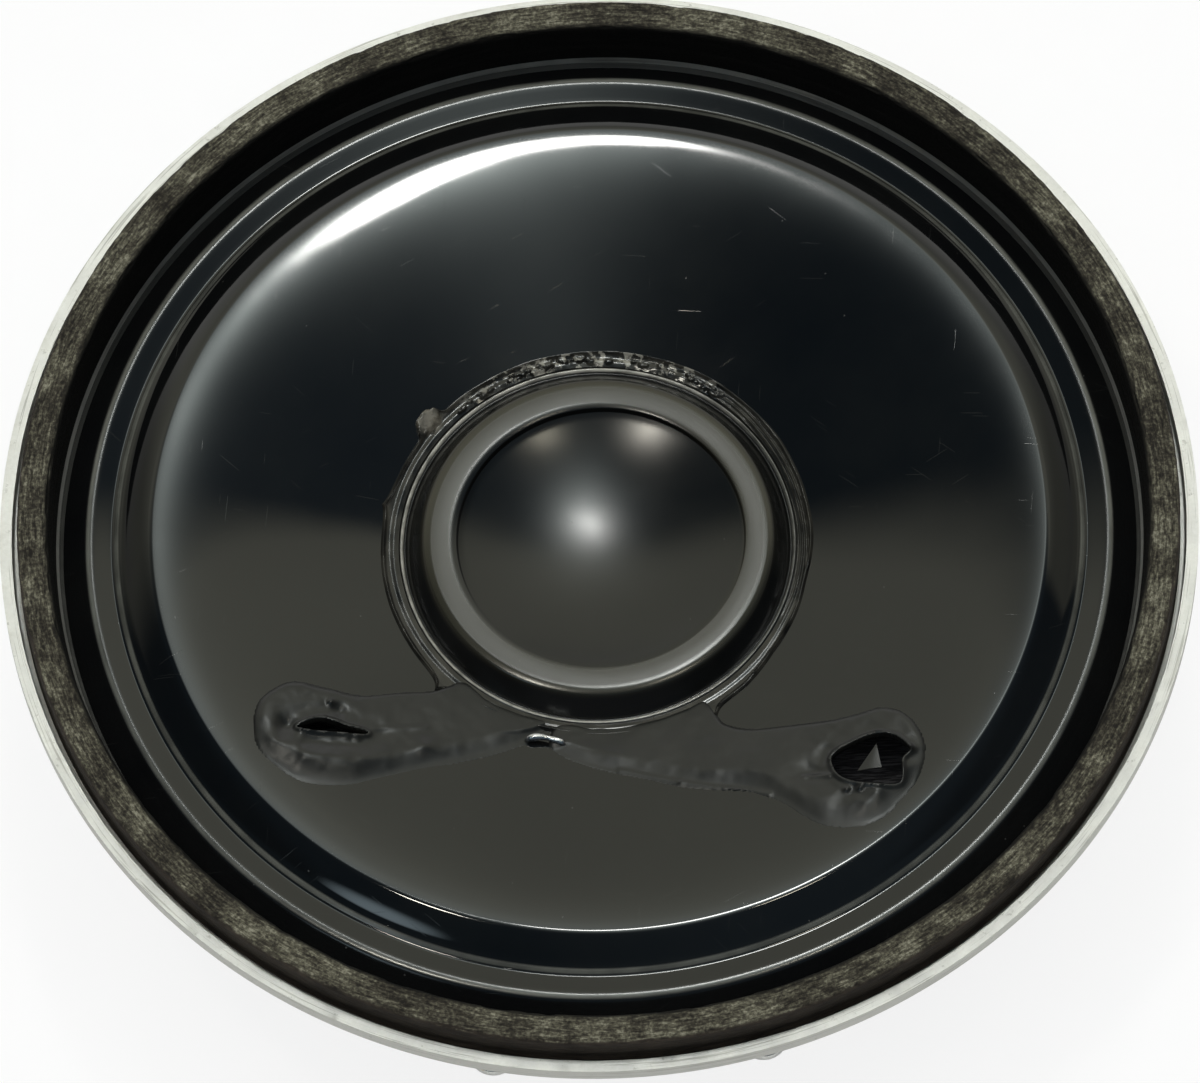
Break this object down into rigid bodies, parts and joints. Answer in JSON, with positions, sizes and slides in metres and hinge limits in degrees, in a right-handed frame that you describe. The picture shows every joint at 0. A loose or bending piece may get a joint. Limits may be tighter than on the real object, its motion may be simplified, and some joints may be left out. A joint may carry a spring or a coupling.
{
  "type": "loudspeaker driver",
  "caption": "Small round loudspeaker driver: pressed steel frame, card gasket, black film cone with a dished dust cap, ring magnet, solder lugs; the cone moves along the axis.",
  "frame": {"origin": "centre of the back plate's rear face, on which the driver stands", "axes": "+Z along the driver's axis towards the listener; the terminals face -Y"},
  "size_m": [0.05, 0.05, 0.0154],
  "materials": {
    "tinned_steel": "bright tin plate, lightly scuffed",
    "zinc_plated_steel": "zinc plated, satin",
    "gasket_card": "pressed card with a fine tangential grain",
    "black_film": "glossy thermoformed film",
    "cap_film": "glossy thermoformed film, slightly satin",
    "clear_adhesive": "clear cured bead with strands",
    "lead_adhesive": "dark translucent cured adhesive, wrinkled",
    "amber_adhesive": "cured rubber cement",
    "dark_epoxy": "cured epoxy fillet",
    "ferrite": "sintered, dark grey, fine ground faces",
    "damping_cloth": "thin black non-woven cloth",
    "fibre_board": "paper phenolic board",
    "tinned_brass": "dull tin plate",
    "solder": "smooth solder",
    "former_paper": "varnished kraft paper",
    "enamelled_wire": "enamelled copper"
  },
  "bodies": {
    "frame": {"frame": "tinned_steel", "rim_adhesive": "amber_adhesive", "film_rim": "black_film", "film_surround": "black_film", "front_gasket": "gasket_card", "damping_cloth": "damping_cloth", "top_plate": "zinc_plated_steel", "magnet_glue_front": "dark_epoxy", "magnet_ring": "ferrite", "magnet_glue_rear": "dark_epoxy", "back_plate": "zinc_plated_steel", "pole_piece": "zinc_plated_steel", "terminal_board": "fibre_board", "board_rivet": "tinned_brass", "terminal_eyelets": "tinned_brass", "terminal_lug_left": "tinned_brass", "terminal_lug_right": "tinned_brass", "solder_joint_left": "solder", "solder_joint_right": "solder", "flying_lead_left": "enamelled_wire", "flying_lead_right": "enamelled_wire"},
    "cone": {"film_cone": "black_film", "dust_cap": "cap_film", "cap_adhesive": "clear_adhesive", "neck_adhesive": "amber_adhesive", "coil_former": "former_paper", "voice_coil": "enamelled_wire", "coil_lead_left": "enamelled_wire", "coil_lead_right": "enamelled_wire", "lead_adhesive_left": "lead_adhesive", "lead_adhesive_right": "lead_adhesive"}
  },
  "joints": [
    {"name": "cone_travel", "type": "slide", "parent": "frame", "child": "cone", "axis": [0, 0, 1], "range_m": [-0.0005, 0.0005], "stiffness_N_per_m": 3000, "deforming": ["film_surround", "flying_lead_left", "flying_lead_right"]}
  ]
}
